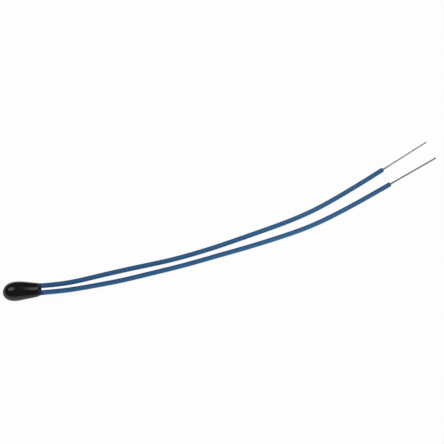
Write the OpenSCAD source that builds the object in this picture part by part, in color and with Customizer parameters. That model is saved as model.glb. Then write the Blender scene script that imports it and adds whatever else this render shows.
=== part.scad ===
// Thermistor with an epoxy-dipped head and two insulated wire leads.
// The head lies on the table, its length along X, with the leads leaving towards +X.
// A square ceramic chip stands between the two wires, and the epoxy is dipped over the joints.

/* [Head] */
// Largest width of the dipped head, across the two leads
head_w = 2.35; // [2.1:0.05:3]
// Largest thickness of the dipped head, from the table up
head_t = 2.15; // [2:0.05:3]
// Length of the head from the nose to the tip of the left collar
head_l = 4.55; // [4.2:0.05:7]
// Distance from the nose to the thickest place
nose_l = 1.65; // [1.3:0.05:2]
// How far the dipped body hangs to the right of the middle between the leads
side_hang = 0.03; // [0:0.01:0.05]
// Epoxy beyond the outer side of each lead at the tail
tail_side = 0.03; // [0.03:0.01:0.15]
// Epoxy above and below the leads at the tail
tail_cover = 0.21; // [0.1:0.01:0.3]
// Length of the collar that climbs each lead past the tail
collar_l = 0.2; // [0.1:0.05:0.5]
// How much farther the epoxy climbs the right lead
right_climb = 0.12; // [0:0.02:0.3]
// Thickness of the epoxy film at a collar's tip
collar_film = 0.01; // [0.01:0.01:0.05]
// Thickness of the web of epoxy between the two leads
web_t = 0.28; // [0.2:0.02:0.4]
// How far the web stops short of the left collar's tip
web_back = 0.04; // [0.02:0.01:0.1]

/* [Chip] */
// Side of the square ceramic chip
chip_side = 1; // [0.8:0.05:1.1]
// Thickness of the chip between its two electrodes
chip_t = 0.72; // [0.65:0.01:0.8]
// Thickness of the fired silver electrode on each face
electrode_t = 0.02; // [0.01:0.005:0.04]
// Bare rim of ceramic left round each electrode
electrode_rim = 0.03; // [0.02:0.01:0.1]
// Length of the solder joint along the wire
solder_l = 0.9; // [0.8:0.05:1]
// Thickness of solder over the wire
solder_wall = 0.125; // [0.1:0.005:0.15]

/* [Leads] */
// Diameter of the solid wire
wire_d = 0.2; // [0.18:0.01:0.25]
// Outside diameter of the insulation
insulation_d = 0.58; // [0.5:0.01:0.65]
// Length of insulation seen outside the head
lead_l = 46; // [30:1:80]
// Length of bare wire at each end
strip_l = 7.25; // [5:0.05:12]
// Length of insulation held inside the head
hold_l = 1.7; // [1.2:0.1:2]

/* [Hidden] */
round_fn = 48;
head_sides = 36;
collar_sides = 24;
lead_sides = 8;
solder_sides = 12;
overlap = 0.5;

wide_half_w = head_w / 2;
wide_half_h = head_t / 2;
nose_x = -head_l / 2;
exit_x = head_l / 2;
axis_z = wide_half_h;
wide_x = nose_x + nose_l;
body_end_x = exit_x - collar_l;
web_end_x = exit_x - web_back;
pitch = chip_t + 2 * electrode_t + wire_d;
tail_half_w = (pitch + insulation_d) / 2 + tail_side;
tail_half_h = insulation_d / 2 + tail_cover;

// The dipped body: a half ellipsoid whose tip hangs a little low, then a taper to the leads.
// The taper falls almost evenly and ends in a rounded shoulder that comes down to the web.
nose_rings = 9;
nose_drop = 0.12;
taper_rings = 14;
taper_power = 1.3;
shoulder_l = 0.4;
shoulder_in = tail_half_h - web_t / 2;

// The meniscus of epoxy on each lead, and the hollow end of the web between the two.
collar_root = 0.65;
collar_rise = 0.1;
collar_rings = 5;
hollow_r = 0.3;

// The chip hangs a little behind the thickest place, and solder closes over each wire's end.
chip_back = 0.1;
wire_end_cover = 0.12;
solder_r = wire_d / 2 + solder_wall;
chip_x = wide_x + chip_back;
face_y = chip_t / 2 + electrode_t;
wire_start_x = chip_x - solder_l / 2 + wire_end_cover;
hold_x = exit_x - hold_l;

// Eight-sided leads with the cross-section area of the round ones, and collars that clear them.
even_area = sqrt(2 * PI / (lead_sides * sin(360 / lead_sides)));
wire_corner = even_area * wire_d / 2;
insulation_corner = even_area * insulation_d / 2;
collar_r = insulation_corner / cos(180 / collar_sides) + collar_film;
steps = 2;
neck_l = 0.2;
neck_share = 0.5;
tip_gap = 0.05;

// Routes from the exit to the end of the insulation, drawn for leads of 46 mm.
// Each point has the way along X, the way to the left, and the share of the fall to the table.
route_l = 46;
route_left = [
    [0, 0, 0], [1.5, 0, 0], [3.7, 0.15, 0], [6.6, 0.9, 0.3],
    [9.4, 1.7, 0.85], [12.3, 2.25, 1], [15.2, 2.7, 1], [18.2, 3.4, 1],
    [21.1, 4.2, 1], [24.1, 5.15, 1], [27.2, 6.15, 1], [30.2, 7.15, 1],
    [33.4, 8.45, 1], [36.6, 10.2, 1], [39.9, 12.15, 1], [43.05, 14.1, 1]
];
route_right = [
    [0, 0, 0], [1.5, 0, 0], [3.7, 0.1, 0], [6.5, 0.6, 0.3],
    [9.4, 1.25, 0.85], [12.2, 1.9, 1], [15.1, 2.45, 1], [18.1, 3.1, 1],
    [21, 3.85, 1], [24, 4.55, 1], [27, 5.35, 1], [30, 6.2, 1],
    [33.1, 7.25, 1], [36.4, 8.8, 1], [39.9, 10.65, 1], [43.5, 12.65, 1]
];

// A point of a route in the part's own frame.
function placed(p, side) = [
    exit_x + p.x * lead_l / route_l,
    side * pitch / 2 + p.y * lead_l / route_l,
    axis_z + (insulation_d / 2 - axis_z) * p.z
];

// Route point i, with one more point on the same line before the first and after the last.
function route_point(route, i) =
    i < 0 ? 2 * route[0] - route[1]
    : i >= len(route) ? 2 * route[len(route) - 1] - route[len(route) - 2]
    : route[i];

// A smooth curve along the points, and its direction.
function curve_at(route, i, f) =
    ((1 - f) ^ 3 * route_point(route, i - 1)
    + (3 * f ^ 3 - 6 * f ^ 2 + 4) * route_point(route, i)
    + (-3 * f ^ 3 + 3 * f ^ 2 + 3 * f + 1) * route_point(route, i + 1)
    + f ^ 3 * route_point(route, i + 2)) / 6;

function heading_at(route, i, f) =
    unit(-(1 - f) ^ 2 * route_point(route, i - 1)
    + (3 * f ^ 2 - 4 * f) * route_point(route, i)
    + (-3 * f ^ 2 + 2 * f + 1) * route_point(route, i + 1)
    + f ^ 2 * route_point(route, i + 2));

function unit(v) = v / norm(v);

// One place is a centre and a direction.
function lead_route(side) = [for (p = side > 0 ? route_left : route_right) placed(p, side)];

function straight(side, xs) = [for (x = xs) [[x, side * pitch / 2, axis_z], [1, 0, 0]]];

function lead_places(side, start_xs) =
    let (route = lead_route(side))
    concat(straight(side, start_xs), [
        for (i = [0 : len(route) - 2], k = [0 : steps - 1])
            if (i + k > 0)
                [curve_at(route, i, k / steps), heading_at(route, i, k / steps)],
        lead_end(route)
    ]);

function lead_end(route) = [
    route[len(route) - 1],
    unit(route[len(route) - 1] - route[len(route) - 2])
];

// A ring of corners round a place, with a flat side towards the table.
function ring_round(place, corner, sides) =
    let (left = unit([-place[1].y, place[1].x, 0]), up = cross(place[1], left))
    [for (k = [0 : sides - 1])
        let (a = (k + 0.5) * 360 / sides)
        place[0] + corner * (cos(a) * left + sin(a) * up)];

function oval(x, y, half_w, half_h, sides, z = axis_z) = [
    for (k = [0 : sides - 1])
        let (a = k * 360 / sides)
        [x, y + half_w * cos(a), z + half_h * sin(a)]
];

function mean(ring) = [for (v = ring) 1] * ring / len(ring);

// A closed solid through rings that all have the same number of corners, from a start point.
module skin(rings, start) {
    n = len(rings[0]);
    last = len(rings) - 1;
    corners = [for (ring = rings) each ring];
    polyhedron(
        points = concat(corners, [start, mean(rings[last])]),
        faces = [
            for (r = [0 : last - 1], k = [0 : n - 1])
                each [
                    [r * n + k, (r + 1) * n + k, (r + 1) * n + (k + 1) % n],
                    [r * n + k, (r + 1) * n + (k + 1) % n, r * n + (k + 1) % n]
                ],
            for (k = [0 : n - 1])
                [k, (k + 1) % n, len(corners)],
            for (k = [0 : n - 1])
                [last * n + (k + 1) % n, last * n + k, len(corners) + 1]
        ]
    );
}

// The head's own shape.
function inset(x) =
    let (q = max(0, (x - body_end_x + shoulder_l) / shoulder_l))
    shoulder_in * (1 - sqrt(max(0, 1 - q * q)));

function taper(x) = (x - wide_x) / (web_end_x - wide_x);

function half_at(x, wide_half, tail_half) =
    wide_half + (tail_half - wide_half) * taper(x) ^ taper_power - inset(x);

function nose_z(a) = axis_z - nose_drop * cos(a) ^ 2;

function nose_ring(a) = oval(
    wide_x - nose_l * cos(a), -side_hang, wide_half_w * sin(a), wide_half_h * sin(a), head_sides, nose_z(a)
);

function body_ring(x) = oval(
    x, -side_hang, half_at(x, wide_half_w, tail_half_w), half_at(x, wide_half_h, tail_half_h), head_sides
);

module dipped_body() {
    body_xs = [for (k = [1 : taper_rings]) wide_x + (body_end_x - shoulder_l - wide_x) * k / taper_rings];
    shoulder_xs = [for (a = [15 : 15 : 90]) body_end_x - shoulder_l + shoulder_l * sin(a)];
    skin(concat(
        [for (k = [1 : nose_rings]) nose_ring(90 * k / nose_rings)],
        [for (x = concat(body_xs, shoulder_xs)) body_ring(x)]
    ), [nose_x, -side_hang, nose_z(0)]);
}

module collar(side) {
    root_x = body_end_x - collar_root;
    tip_x = side > 0 ? exit_x : exit_x + right_climb;
    skin([
        for (k = [0 : collar_rings])
            let (f = k / collar_rings, r = collar_r + collar_rise * (1 - f) ^ 2)
            oval(root_x + (tip_x - root_x) * f, side * pitch / 2, r, r, collar_sides)
    ], [root_x, side * pitch / 2, axis_z]);
}

module web() {
    root_x = body_end_x - shoulder_l;
    difference() {
        translate([root_x, -pitch / 2, axis_z - web_t / 2])
            cube([web_end_x + web_back / 2 - root_x, pitch, web_t]);
        translate([web_end_x + hollow_r, 0, 0])
            cylinder(h = head_t, r = hollow_r, $fn = round_fn);
    }
}

// Solid shapes of what the epoxy holds, used for the pieces and for the room they take.
module chip_block() {
    translate([chip_x - chip_side / 2, -chip_t / 2, axis_z - chip_side / 2])
        cube([chip_side, chip_t, chip_side]);
}

module electrode(side) {
    plate = chip_side - 2 * electrode_rim;
    mirror([0, side > 0 ? 0 : 1, 0])
        translate([chip_x - plate / 2, chip_t / 2, axis_z - plate / 2])
            cube([plate, electrode_t, plate]);
}

module solder_mound(side) {
    mirror([0, side > 0 ? 0 : 1, 0])
        intersection() {
            translate([chip_x, pitch / 2, axis_z])
                rotate([0, 90, 0])
                    rotate_extrude($fn = solder_sides)
                        polygon([for (a = [-90 : 15 : 90]) [solder_r * cos(a), solder_l / 2 * sin(a)]]);
            translate([chip_x - solder_l, face_y, axis_z - 2 * solder_r])
                cube([2 * solder_l, 2 * solder_r, 4 * solder_r]);
        }
}

module swept(places, corner) {
    skin([for (p = places) ring_round(p, corner, lead_sides)], places[0][0]);
}

module wire_inside(side) {
    swept(straight(side, [wire_start_x, exit_x]), wire_corner);
}

module insulation_inside(side) {
    swept(straight(side, [hold_x, exit_x + overlap]), insulation_corner);
}

module wire(side) {
    places = lead_places(side, [wire_start_x, hold_x, exit_x + overlap]);
    end = places[len(places) - 1];
    neck = [end[0] + neck_l * end[1], end[1]];
    union() {
        skin(concat(
            [for (p = places) ring_round(p, wire_corner, lead_sides)],
            [ring_round(neck, neck_share * wire_corner, lead_sides)]
        ), places[0][0]);
        translate(end[0] + tip_gap * end[1])
            rotate([0, 90, atan2(end[1].y, end[1].x)])
                cylinder(h = strip_l - tip_gap, d = wire_d, $fn = round_fn);
    }
}

// A tube made in one go, so that its bore has the very corners of the wire.
module insulation(side) {
    places = lead_places(side, [hold_x, exit_x + overlap]);
    n = lead_sides;
    m = len(places);
    polyhedron(
        points = concat(
            [for (p = places) each ring_round(p, insulation_corner, n)],
            [for (p = places) each ring_round(p, wire_corner, n)]
        ),
        faces = [
            for (r = [0 : m - 2], k = [0 : n - 1])
                let (a = r * n + k, b = r * n + (k + 1) % n, bore = m * n)
                each [
                    [a, a + n, b + n],
                    [a, b + n, b],
                    [a + bore, b + n + bore, a + n + bore],
                    [a + bore, b + bore, b + n + bore]
                ],
            for (k = [0 : n - 1])
                let (a = k, b = (k + 1) % n, bore = m * n)
                each [[a, b, b + bore], [a, b + bore, a + bore]],
            for (k = [0 : n - 1])
                let (a = (m - 1) * n + k, b = (m - 1) * n + (k + 1) % n, bore = m * n)
                each [[b, a, a + bore], [b, a + bore, b + bore]]
        ]
    );
}

module epoxy_head() {
    color([0.05, 0.05, 0.055])
        difference() {
            union() {
                dipped_body();
                web();
                collar(1);
                collar(-1);
            }
            chip_block();
            for (side = [-1, 1]) {
                electrode(side);
                solder_mound(side);
                wire_inside(side);
                insulation_inside(side);
            }
        }
}

module ntc_chip() {
    color([0.23, 0.22, 0.2])
        chip_block();
}

module electrode_left() {
    color([0.82, 0.81, 0.77])
        electrode(1);
}

module electrode_right() {
    color([0.82, 0.81, 0.77])
        electrode(-1);
}

module solder_left() {
    color([0.66, 0.67, 0.68])
        difference() {
            solder_mound(1);
            wire_inside(1);
        }
}

module solder_right() {
    color([0.66, 0.67, 0.68])
        difference() {
            solder_mound(-1);
            wire_inside(-1);
        }
}

module wire_left() {
    color([0.72, 0.73, 0.74])
        wire(1);
}

module wire_right() {
    color([0.72, 0.73, 0.74])
        wire(-1);
}

module insulation_left() {
    color([0.1, 0.33, 0.58])
        insulation(1);
}

module insulation_right() {
    color([0.1, 0.33, 0.58])
        insulation(-1);
}

epoxy_head();
ntc_chip();
electrode_left();
electrode_right();
solder_left();
solder_right();
wire_left();
wire_right();
insulation_left();
insulation_right();
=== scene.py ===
import math

import bpy
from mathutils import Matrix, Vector


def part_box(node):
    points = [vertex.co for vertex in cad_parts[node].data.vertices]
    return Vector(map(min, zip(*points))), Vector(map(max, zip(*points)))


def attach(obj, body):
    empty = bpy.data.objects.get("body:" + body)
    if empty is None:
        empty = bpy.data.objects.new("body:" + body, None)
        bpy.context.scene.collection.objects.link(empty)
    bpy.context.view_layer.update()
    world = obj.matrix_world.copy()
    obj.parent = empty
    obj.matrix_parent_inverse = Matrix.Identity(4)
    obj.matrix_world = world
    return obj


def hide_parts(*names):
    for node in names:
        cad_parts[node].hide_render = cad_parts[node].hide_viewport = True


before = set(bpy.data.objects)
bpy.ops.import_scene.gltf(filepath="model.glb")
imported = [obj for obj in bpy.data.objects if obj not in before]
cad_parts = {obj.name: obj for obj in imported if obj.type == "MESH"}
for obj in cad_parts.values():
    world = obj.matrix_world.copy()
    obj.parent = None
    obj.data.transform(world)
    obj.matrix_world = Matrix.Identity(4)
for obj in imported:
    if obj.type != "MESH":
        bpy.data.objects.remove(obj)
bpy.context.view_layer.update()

# Camera
# The photograph looks down steeply on the part from its right side, through a long lens.
# The head is at the left edge of the frame and the bare ends at the right.
view_azimuth = math.radians(-5.1)
view_height = math.radians(55)
view_distance = 0.15875
view_target = Vector((0.02428, 0.008445, 0))
view_back = Vector((
    math.sin(view_azimuth) * math.cos(view_height),
    -math.cos(view_azimuth) * math.cos(view_height),
    math.sin(view_height),
))
lens = bpy.data.cameras.new("camera")
lens.lens = 105
lens.sensor_width = 36
lens.clip_start = 0.001
camera = bpy.data.objects.new("camera", lens)
camera.location = view_target + view_distance * view_back
camera.rotation_euler = view_back.to_track_quat("Z", "Y").to_euler()
bpy.context.collection.objects.link(camera)
bpy.context.scene.camera = camera
bpy.context.scene.view_settings.view_transform = "Standard"

# Insulation
# Each lead is a solid wire in a thin tube of blue PTFE, drawn over it without a gap.
# The epoxy grips 1.7 mm of the tube, and the far end was cut back with a stripping blade, which
# left a rounder lip on the left one.
insulation_d = 0.00058
wire_d = 0.0002
lead_gap = 2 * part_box("electrode_left")[1].y + wire_d
hold_l = 0.0017
exit_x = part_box("insulation_left")[0].x + hold_l
axis_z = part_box("epoxy_head")[1].z / 2

# Each point of a route: how far along, how far to the left, and its share of the fall to the table.
route_left = [
    (0, 0, 0), (0.0015, 0, 0), (0.0037, 0.00015, 0), (0.0066, 0.0009, 0.3),
    (0.0094, 0.0017, 0.85), (0.0123, 0.00225, 1), (0.0152, 0.0027, 1), (0.0182, 0.0034, 1),
    (0.0211, 0.0042, 1), (0.0241, 0.00515, 1), (0.0272, 0.00615, 1), (0.0302, 0.00715, 1),
    (0.0334, 0.00845, 1), (0.0366, 0.0102, 1), (0.0399, 0.01215, 1), (0.04305, 0.0141, 1),
]
route_right = [
    (0, 0, 0), (0.0015, 0, 0), (0.0037, 0.0001, 0), (0.0065, 0.0006, 0.3),
    (0.0094, 0.00125, 0.85), (0.0122, 0.0019, 1), (0.0151, 0.00245, 1), (0.0181, 0.0031, 1),
    (0.021, 0.00385, 1), (0.024, 0.00455, 1), (0.027, 0.00535, 1), (0.03, 0.0062, 1),
    (0.0331, 0.00725, 1), (0.0364, 0.0088, 1), (0.0399, 0.01065, 1), (0.0435, 0.01265, 1),
]
steps_per_point = 6
lip_step = 15


def placed(route, side):
    """The route's points in the part's frame."""
    fall = insulation_d / 2 - axis_z
    return [Vector((exit_x + x, side * lead_gap / 2 + y, axis_z + fall * z)) for x, y, z in route]


def smooth_line(points, steps):
    """A smooth curve along the points that starts at the first and ends at the last."""
    p = [2 * points[0] - points[1], *points, 2 * points[-1] - points[-2]]
    line = []
    for i in range(len(points) - 1):
        for k in range(steps):
            f = k / steps
            line.append((
                (1 - f) ** 3 * p[i]
                + (3 * f ** 3 - 6 * f ** 2 + 4) * p[i + 1]
                + (-3 * f ** 3 + 3 * f ** 2 + 3 * f + 1) * p[i + 2]
                + f ** 3 * p[i + 3]
            ) / 6)
    return line + [points[-1]]


def headings(line):
    """The direction of the line at each of its points."""
    ends = [line[0], *line, line[-1]]
    return [(b - a).normalized() for a, b in zip(ends, ends[2:])]


def swept(name, rings, sides, closed):
    """A mesh through rings, each a centre, a direction, a radius and how far along the lead it is.

    A closed one goes on from its last ring to its first, and any other gets a flat face at each end.
    """
    verts, faces, uvs = [], [], []
    for centre, ahead, radius, along in rings:
        left = Vector((-ahead.y, ahead.x, 0)).normalized()
        up = ahead.cross(left)
        for k in range(sides):
            turn = 2 * math.pi * k / sides
            verts.append(centre + radius * (math.cos(turn) * left + math.sin(turn) * up))
    count = len(rings)
    for r in range(count if closed else count - 1):
        s = (r + 1) % count
        low, high = rings[r][3], rings[s][3]
        for k in range(sides):
            n = (k + 1) % sides
            faces.append((r * sides + k, r * sides + n, s * sides + n, s * sides + k))
            here, there = k / sides, (k + 1) / sides
            uvs += [(here, low), (there, low), (there, high), (here, high)]
    if not closed:
        for r, order in ((0, -1), (count - 1, 1)):
            faces.append([r * sides + k for k in range(sides)][::order])
            uvs += [(k / sides, rings[r][3]) for k in range(sides)][::order]
    mesh = bpy.data.meshes.new(name)
    mesh.from_pydata(verts, [], faces)
    layer = mesh.uv_layers.new(name="around_and_along")
    for loop, uv in zip(layer.data, uvs):
        loop.uv = uv
    piece = bpy.data.objects.new(name, mesh)
    bpy.context.collection.objects.link(piece)
    return piece


class Shade:
    """A socket in a material's node tree. Sums on it add Math nodes."""

    def __init__(self, tree, socket):
        self.tree = tree
        self.socket = socket

    def node(self, kind, inputs, output=0, **settings):
        """Adds a node with its settings, sets or links its inputs, and gives one of its outputs."""
        made = self.tree.nodes.new(kind)
        for key, value in settings.items():
            setattr(made, key, value)
        for key, value in inputs.items():
            if isinstance(value, Shade):
                self.tree.links.new(value.socket, made.inputs[key])
            else:
                made.inputs[key].default_value = value
        return Shade(self.tree, made.outputs[output])

    def sum(self, operation, a, b):
        return self.node("ShaderNodeMath", {0: a, 1: b}, operation=operation)

    def __add__(self, other):
        return self.sum("ADD", self, other)

    __radd__ = __add__

    def __sub__(self, other):
        return self.sum("SUBTRACT", self, other)

    def __rsub__(self, other):
        return self.sum("SUBTRACT", other, self)

    def __mul__(self, other):
        return self.sum("MULTIPLY", self, other)

    __rmul__ = __mul__


def finish(name, coordinates, stretch):
    """A new material, its surface shader, and the stretched coordinates that its pattern follows."""
    material = bpy.data.materials.new(name)
    material.use_nodes = True
    tree = material.node_tree
    surface = tree.nodes["Principled BSDF"]
    places = Shade(tree, tree.nodes.new("ShaderNodeTexCoord").outputs[coordinates])
    return material, surface, places.node("ShaderNodeMapping", {"Vector": places, "Scale": stretch})


def feed(surface, **values):
    """Sets or links the shader's sockets, named with a low line for a space."""
    for key, value in values.items():
        socket = surface.inputs[key.replace("_", " ")]
        if isinstance(value, Shade):
            value.tree.links.new(value.socket, socket)
        else:
            socket.default_value = value


def noise(places, scale, detail=3):
    return places.node("ShaderNodeTexNoise", {"Vector": places, "Scale": scale, "Detail": detail})


def coordinate(places, which):
    """One coordinate: 0 is X, or around a lead, and 1 is Y, or along it."""
    return places.node("ShaderNodeSeparateXYZ", {0: places}, which)


def ramp(place, start, end, at_start=0, at_end=1):
    """A value that changes evenly from start to end, and stays as it is before and beyond them."""
    return place.node("ShaderNodeMapRange", {0: place, 1: start, 2: end, 3: at_start, 4: at_end})


def mixed(share, first, second):
    """A colour between the first, where the share is 0, and the second, where it is 1."""
    return share.node("ShaderNodeMix", {0: share, 6: first, 7: second}, 2, data_type="RGBA")


def relief(height, strength, depth):
    return height.node("ShaderNodeBump", {"Height": height, "Strength": strength, "Distance": depth})


def wear(piece, material):
    """Gives the piece this material alone."""
    piece.data.materials.clear()
    piece.data.materials.append(material)


# The tube has fine drawing lines. Painted light and shade make it paler along its middle, and less so
# in its last centimetre.
blue, blue_shader, blue_places = finish("blue_ptfe", "UV", stretch=(8, 1000, 1))
deep_blue = (0.018, 0.102, 0.25, 1)
pale_blue = (0.032, 0.138, 0.31, 1)
draw_lines = noise(blue_places, scale=1.2)
blotches = noise(blue_places, scale=0.35)
along_lead = coordinate(blue_places, 1)
# Painted shade and light along the lead: darker near the head, paler in the middle, darker in the last
# centimetre.
painted_light_mid_lead = ramp(along_lead, start=8, end=32, at_start=-0.2, at_end=0.75)
painted_shade_at_end = ramp(along_lead, start=35, end=45, at_start=0, at_end=0.65)
feed(
    blue_shader,
    Base_Color=mixed(0.5 * blotches + painted_light_mid_lead - painted_shade_at_end, deep_blue, pale_blue),
    Roughness=0.36 + 0.14 * blotches,
    Normal=relief(draw_lines, strength=0.35, depth=0.00001),
    IOR=1.38,
)

leads = {}
for side, label, route, cut_back, lip in (
    (1, "left", route_left, 0.0002, 0.00018),
    (-1, "right", route_right, 0.00014, 0.00003),
):
    points = placed(route, side)
    line = smooth_line(points, steps_per_point)
    ahead = headings(line)
    ahead[0] = Vector((1, 0, 0))
    ahead[-1] = (points[-1] - points[-2]).normalized()
    run = 0
    rings = [(line[0] - Vector((hold_l, 0, 0)), ahead[0], insulation_d / 2, -hold_l)]
    for i, place in enumerate(line[:-1]):
        rings.append((place, ahead[i], insulation_d / 2, run))
        run += (line[i + 1] - place).length
    for turn in range(0, 91, lip_step):
        back = cut_back + lip * (1 - math.sin(math.radians(turn)))
        inwards = lip * (1 - math.cos(math.radians(turn)))
        rings.append((line[-1] - back * ahead[-1], ahead[-1], insulation_d / 2 - inwards, run - back))
    bore = [
        (place, way, wire_d / 2, along)
        for place, way, radius, along in rings
        if radius == insulation_d / 2
    ]
    rings.append((line[-1] - cut_back * ahead[-1], ahead[-1], wire_d / 2, run - cut_back))
    rings += bore[::-1]
    tube = swept("insulation_" + label + "_tube", rings, sides=24, closed=True)
    wear(tube, blue)
    leads[label] = line, ahead, run, tube
    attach(tube, "root")
    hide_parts("insulation_" + label)

# Wires
# Each wire is solid nickel plated with silver, 0.2 mm thick, from the chip to its bare end.
# The bare end was stripped and snipped off square, which left its tip a little pinched. The plate
# is darker beside the insulation, and duller on the right wire.
strip_l = 0.00725
tip_pinch = 0.8
tip_l = 0.00008
bare_rings = 9
plate_per_metre = 300
# The plate is darker beside the insulation, fading within a millimetre.
dark_beside_insulation = (0.05, 0.06, 0.07, 1)
darkening_depth = 0.6
darkening_l = 0.001


def plating(name, tone, darkening_start):
    """Silver plate, rubbed lighter in places, and darker from one place on, fading soon after."""
    silver, silver_shader, places = finish(name, "UV", stretch=(5, plate_per_metre, 1))
    rubbed = noise(places, scale=1.5)
    darkened = ramp(
        coordinate(places, 1),
        start=plate_per_metre * darkening_start,
        end=plate_per_metre * (darkening_start + darkening_l),
        at_start=darkening_depth,
        at_end=0,
    )
    dull = (tone, 0.99 * tone, 0.98 * tone, 1)
    bright = (1.15 * tone, 1.14 * tone, 1.13 * tone, 1)
    feed(
        silver_shader,
        Base_Color=mixed(darkened, mixed(rubbed, dull, bright), dark_beside_insulation),
        Metallic=1.0,
        Roughness=0.34 + 0.08 * rubbed,
        Normal=relief(rubbed, strength=0.3, depth=0.000003),
    )
    return silver


for label, tone, cut_short in (("left", 0.47, 0.00015), ("right", 0.28, 0)):
    line, ahead, run, tube = leads[label]
    bare_l = strip_l - cut_short
    start = line[0].copy()
    start.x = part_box("wire_" + label)[0].x
    rings = [(start, ahead[0], wire_d / 2, -hold_l)]
    along = 0
    for i, place in enumerate(line):
        rings.append((place, ahead[i], wire_d / 2, along))
        if i < len(line) - 1:
            along += (line[i + 1] - place).length
    for k in range(1, bare_rings + 1):
        share = (bare_l - tip_l) * k / bare_rings
        rings.append((line[-1] + share * ahead[-1], ahead[-1], wire_d / 2, along + share))
    tip = line[-1] + bare_l * ahead[-1]
    rings.append((tip, ahead[-1], tip_pinch * wire_d / 2, along + bare_l))
    wire = swept("wire_" + label + "_core", rings, sides=20, closed=False)
    wear(wire, plating("silver_plated_wire_" + label, tone, darkening_start=run))
    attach(wire, "root")
    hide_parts("wire_" + label)

# Chip, electrodes and solder
# A diced square of sintered oxide has silver paste fired on two faces, and each wire is soldered
# to one face. The epoxy hides all of it, so the frame's own solids stay and only get their finish.
by_the_millimetre = (1000, 1000, 1000)
oxide, oxide_shader, oxide_places = finish("sintered_oxide", "Object", by_the_millimetre)
dark_oxide = (0.03, 0.028, 0.025, 1)
pale_oxide = (0.075, 0.07, 0.062, 1)
grain = noise(oxide_places, scale=14, detail=6)
feed(
    oxide_shader,
    Base_Color=mixed(grain, dark_oxide, pale_oxide),
    Roughness=0.6 + 0.3 * grain,
    Normal=relief(grain, strength=0.5, depth=0.00001),
)

paste, paste_shader, paste_places = finish("fired_silver", "Object", by_the_millimetre)
dull_paste = (0.6, 0.58, 0.53, 1)
bright_paste = (0.8, 0.79, 0.75, 1)
flakes = noise(paste_places, scale=22, detail=5)
feed(
    paste_shader,
    Base_Color=mixed(flakes, dull_paste, bright_paste),
    Metallic=1.0,
    Roughness=0.5 + 0.25 * flakes,
    Normal=relief(flakes, strength=0.5, depth=0.000006),
)

tin, tin_shader, tin_places = finish("solder", "Object", by_the_millimetre)
dull_tin = (0.5, 0.5, 0.51, 1)
bright_tin = (0.68, 0.68, 0.7, 1)
ripples = noise(tin_places, scale=7, detail=4)
feed(
    tin_shader,
    Base_Color=mixed(ripples, dull_tin, bright_tin),
    Metallic=1.0,
    Roughness=0.25 + 0.25 * ripples,
    Normal=relief(ripples, strength=0.6, depth=0.00001),
)

wear(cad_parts["ntc_chip"], oxide)
for side in ("left", "right"):
    wear(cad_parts["electrode_" + side], paste)
    wear(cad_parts["solder_" + side], tin)

# Head
# The chip and both joints are dipped in black epoxy, which cures as a glossy drop. It thins and
# turns a little towards the leads, climbs each one and leaves a small hollow between them.
# It is shaped in millimetres and brought to metres at the end.
mm = 1000
head_low, head_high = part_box("epoxy_head")
wide_half_w = mm * (head_high.y - head_low.y) / 2
wide_half_h = mm * head_high.z / 2
nose_x = mm * head_low.x
nose_l = 1.65
nose_drop = 0.11
nose_power = 2.4
side_hang = 0.03
wide_x = nose_x + nose_l
collar_end_x = mm * exit_x
collar_l = 0.2
body_end_x = collar_end_x - collar_l
web_back = 0.02
web_end_x = collar_end_x - web_back
web_t = 0.28
lead_y = mm * lead_gap / 2
lead_r = mm * insulation_d / 2
tail_side = -0.05
tail_cover = 0.21
tail_half_w = lead_y + lead_r + tail_side
tail_half_h = lead_r + tail_cover
side_power = 1.65
taper_power = 1.3
sway = 0.02
body_roll = 15
tail_twist = -40
twist_power = 3
shoulder_l = 0.3
shoulder_in = tail_half_h - web_t / 2
shoulder_start_x = body_end_x - shoulder_l
drop_sides = 96
rod_sides = 48


def drop_section(x):
    """The middle, half the width and half the height of the drop at one place along it."""
    if x <= wide_x:
        back = (wide_x - x) / nose_l
        share = math.sqrt(1 - back ** nose_power)
        middle = Vector((x, -side_hang, wide_half_h - nose_drop * back ** 2))
        return middle, wide_half_w * share, wide_half_h * share
    s = (x - wide_x) / (web_end_x - wide_x)
    q = min(1, max(0, (x - shoulder_start_x) / shoulder_l))
    inset = shoulder_in * (1 - math.sqrt(1 - q * q))
    return (
        Vector((x, sway * math.sin(2 * math.pi * s) - side_hang, wide_half_h)),
        wide_half_w + (tail_half_w - wide_half_w) * s ** side_power,
        wide_half_h + (tail_half_h - wide_half_h) * s ** taper_power - inset,
    )


def cut_or_join(piece, other, operation):
    """Joins or cuts a piece with another, which is used up."""
    step = piece.modifiers.new(operation, "BOOLEAN")
    step.object = other
    step.operation = operation
    step.solver = "EXACT"
    bpy.context.view_layer.objects.active = piece
    bpy.ops.object.modifier_apply(modifier=step.name)
    bpy.data.objects.remove(other)


def rod(start_x, end_x, y, start_r, end_r):
    """A round rod or cone along the leads."""
    bpy.ops.object.select_all(action="DESELECT")
    bpy.ops.mesh.primitive_cone_add(
        vertices=rod_sides, radius1=start_r, radius2=end_r, depth=end_x - start_x,
        location=((start_x + end_x) / 2, y, wide_half_h), rotation=(0, math.pi / 2, 0))
    bpy.ops.object.transform_apply(location=True, rotation=True, scale=True)
    return bpy.context.object


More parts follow.
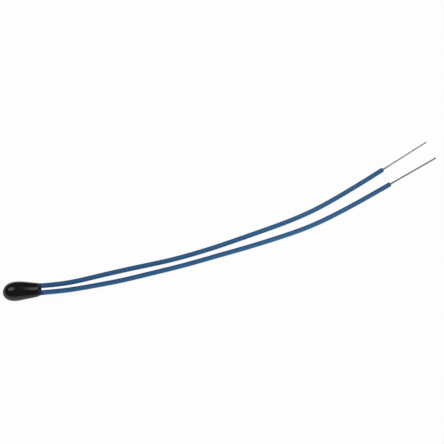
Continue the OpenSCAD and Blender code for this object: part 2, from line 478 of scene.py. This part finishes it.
# The drop is drawn out ring by ring, along its nose, its taper and its shoulder.
nose_step = 6
taper_rings = 20
shoulder_step = 10
stations = [
    wide_x - (wide_x - nose_x) * math.cos(math.radians(a))
    for a in range(nose_step, 91, nose_step)
]
stations += [
    wide_x + (shoulder_start_x - wide_x) * k / taper_rings
    for k in range(1, taper_rings + 1)
]
stations += [
    body_end_x - shoulder_l * (1 - math.sin(math.radians(a)))
    for a in range(shoulder_step, 91, shoulder_step)
]
was_middle = drop_section(stations[0])[0]
was_w, was_h, was_turn = 1, 1, 0
bpy.ops.object.select_all(action="DESELECT")
bpy.ops.mesh.primitive_circle_add(
    vertices=drop_sides, radius=1, fill_type="NGON",
    location=was_middle, rotation=(0, math.pi / 2, 0))
head = bpy.context.object
head.name = "dipped_head"
bpy.ops.object.transform_apply(location=True, rotation=True, scale=True)
bpy.ops.object.mode_set(mode="EDIT")
bpy.ops.mesh.select_all(action="SELECT")
for x in stations:
    middle, half_w, half_h = drop_section(x)
    if x > stations[0]:
        bpy.ops.mesh.extrude_region_move(TRANSFORM_OT_translate={"value": middle - was_middle})
    bpy.ops.transform.resize(value=(1, half_w / was_w, half_h / was_h), center_override=middle)
    s = max(0, (x - wide_x) / (body_end_x - wide_x))
    turn = math.radians(body_roll * s + tail_twist * s ** twist_power)
    bpy.ops.transform.rotate(value=turn - was_turn, orient_axis="X", center_override=middle)
    was_middle, was_w, was_h, was_turn = middle, half_w, half_h, turn
bpy.ops.mesh.select_all(action="SELECT")
bpy.ops.mesh.normals_make_consistent(inside=False)
bpy.ops.object.mode_set(mode="OBJECT")

# A web joins the collars and ends in a hollow.
hollow_r = 0.3
bpy.ops.object.select_all(action="DESELECT")
bpy.ops.mesh.primitive_cube_add(
    size=1, location=((shoulder_start_x + collar_end_x) / 2, 0, wide_half_h),
    scale=(collar_end_x - shoulder_start_x, 2 * lead_y, web_t))
web = bpy.context.object
bpy.ops.object.transform_apply(location=True, rotation=True, scale=True)
bpy.ops.object.select_all(action="DESELECT")
bpy.ops.mesh.primitive_cylinder_add(
    vertices=drop_sides, radius=hollow_r, depth=wide_half_h,
    location=(web_end_x + hollow_r, 0, wide_half_h))
cut_or_join(web, bpy.context.object, "DIFFERENCE")
cut_or_join(head, web, "UNION")

# A collar climbs each lead, thickest at its root. It is cut to length, the right one on a slant.
film = 0.02
collar_r = lead_r + film
root_rise = 0.1
root_l = 0.95
neck_l = 0.06
root_x = collar_end_x - root_l
neck_x = collar_end_x - neck_l
right_slant = 1.2
for y, slant in ((-lead_y, right_slant), (lead_y, 0)):
    cut_or_join(head, rod(root_x, neck_x, y, collar_r + root_rise, collar_r), "UNION")
    collar = rod(neck_x - 2 * film, collar_end_x + 2 * lead_r, y, collar_r, collar_r)
    bpy.ops.object.mode_set(mode="EDIT")
    bpy.ops.mesh.select_all(action="SELECT")
    bpy.ops.mesh.bisect(
        plane_co=(collar_end_x, y, wide_half_h), plane_no=(1, slant, 0),
        use_fill=True, clear_outer=True)
    bpy.ops.object.mode_set(mode="OBJECT")
    cut_or_join(head, collar, "UNION")

# One skin goes over all of it, smoothed as by surface tension, and then the leads' bores are cut.
voxel = 0.026
bore_overrun = 1
weld = 0.0005
crease = 50
cure = head.modifiers.new("even skin", "REMESH")
cure.mode = "VOXEL"
cure.voxel_size = voxel
bpy.context.view_layer.objects.active = head
bpy.ops.object.modifier_apply(modifier=cure.name)
flow = head.modifiers.new("surface tension", "SMOOTH")
flow.factor = 0.5
flow.iterations = 24
bpy.ops.object.modifier_apply(modifier=flow.name)
for y in (-lead_y, lead_y):
    bore = rod(collar_end_x - mm * hold_l, collar_end_x + bore_overrun, y, lead_r, lead_r)
    cut_or_join(head, bore, "DIFFERENCE")
bpy.ops.object.select_all(action="DESELECT")
head.select_set(True)
bpy.context.view_layer.objects.active = head
bpy.ops.object.mode_set(mode="EDIT")
bpy.ops.mesh.select_all(action="SELECT")
bpy.ops.mesh.remove_doubles(threshold=weld)
bpy.ops.mesh.dissolve_degenerate(threshold=weld)
bpy.ops.object.mode_set(mode="OBJECT")
head.scale = (1 / mm, 1 / mm, 1 / mm)
bpy.ops.object.transform_apply(location=True, rotation=True, scale=True)
bpy.ops.object.shade_smooth_by_angle(angle=math.radians(crease))

# Towards the collars' tips the black is thin and lets the blue through, most of all on the left.
thin_l = 0.45
thin_from_y = 0.1
thin_on_right = 0.3
blue_through = (0.013, 0.05, 0.125, 1)
deep_black = (0.004, 0.004, 0.0045, 1)
soft_black = (0.006, 0.006, 0.006, 1)
epoxy, epoxy_shader, epoxy_places = finish("black_epoxy", "Object", by_the_millimetre)
waves = noise(epoxy_places, scale=1.1, detail=2)
dust = noise(epoxy_places, scale=26, detail=4)
near_tip = ramp(coordinate(epoxy_places, 0), start=collar_end_x - thin_l, end=collar_end_x)
on_left = ramp(coordinate(epoxy_places, 1), start=thin_from_y, end=lead_y, at_start=thin_on_right)
feed(
    epoxy_shader,
    Base_Color=mixed(near_tip * on_left, mixed(waves, deep_black, soft_black), blue_through),
    Roughness=0.15 + 0.06 * waves + 0.04 * dust,
    Normal=relief(waves + 0.04 * dust, strength=0.4, depth=0.00004),
)
wear(head, epoxy)
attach(head, "root")
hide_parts("epoxy_head")

# Floor and light
# A white table in a dim room, under two soft boxes: one hangs beyond the head and one beyond the
# bare ends. Light bounced from the front and from above softens the shades.
floor_w = 6
bpy.ops.object.select_all(action="DESELECT")
bpy.ops.mesh.primitive_plane_add(size=floor_w, location=(0, 0, 0))
floor = bpy.context.object
floor.name = "floor"
paper = bpy.data.materials.new("white_table")
paper.use_nodes = True
paper_tree = paper.node_tree
paper_tree.nodes.remove(paper_tree.nodes["Principled BSDF"])
seen = Shade(paper_tree, paper_tree.nodes.new("ShaderNodeLightPath").outputs["Is Camera Ray"])
mirrored = Shade(paper_tree, seen.socket.node.outputs["Is Glossy Ray"])
passed = Shade(paper_tree, seen.socket.node.outputs["Is Transmission Ray"])
flat_white = seen.node("ShaderNodeEmission", {"Color": (1, 1, 1, 1), "Strength": 1.0})
lit_white = seen.node("ShaderNodeBsdfDiffuse", {"Color": (0.85, 0.85, 0.85, 1)})
flat_when_seen = 0.96
flat_when_mirrored = 0.6
flat_share = flat_when_seen * (seen + passed) + flat_when_mirrored * mirrored
shown = seen.node("ShaderNodeMixShader", {0: flat_share, 1: lit_white, 2: flat_white})
paper_tree.links.new(shown.socket, paper_tree.nodes["Material Output"].inputs["Surface"])
wear(floor, paper)

dim_light = (0.1, 0.1, 0.1, 1)
seen_backdrop = (0.98, 0.98, 0.98, 1)
room = bpy.data.worlds.new("room")
room.use_nodes = True
bpy.context.scene.world = room
room_tree = room.node_tree
eye = Shade(room_tree, room_tree.nodes.new("ShaderNodeLightPath").outputs["Is Camera Ray"])
feed(room_tree.nodes["Background"], Color=mixed(eye, dim_light, seen_backdrop))

lamp_away = 0.3
for label, turn, height, long, wide, level, mirrors in (
    ("soft_box_left", -105, 55, 0.15, 0.18, 2.0, True),
    ("soft_box_right", 104, 55, 0.16, 0.23, 2.2, True),
    ("bounce_front", 0, 15, 0.4, 0.1, 4.2, False),
    ("bounce_above", 0, 90, 0.4, 0.3, 0.5, False),
):
    lamp = bpy.data.lights.new(label, "AREA")
    lamp.shape = "RECTANGLE"
    lamp.size = long
    lamp.size_y = wide
    lamp.energy = level * math.pi * long * wide
    hung = bpy.data.objects.new(label, lamp)
    turn = math.radians(turn)
    height = math.radians(height)
    away = Vector((
        math.sin(turn) * math.cos(height),
        -math.cos(turn) * math.cos(height),
        math.sin(height),
    ))
    hung.location = view_target + lamp_away * away
    hung.rotation_euler = away.to_track_quat("Z", "Y").to_euler()
    hung.visible_glossy = mirrors
    bpy.context.collection.objects.link(hung)
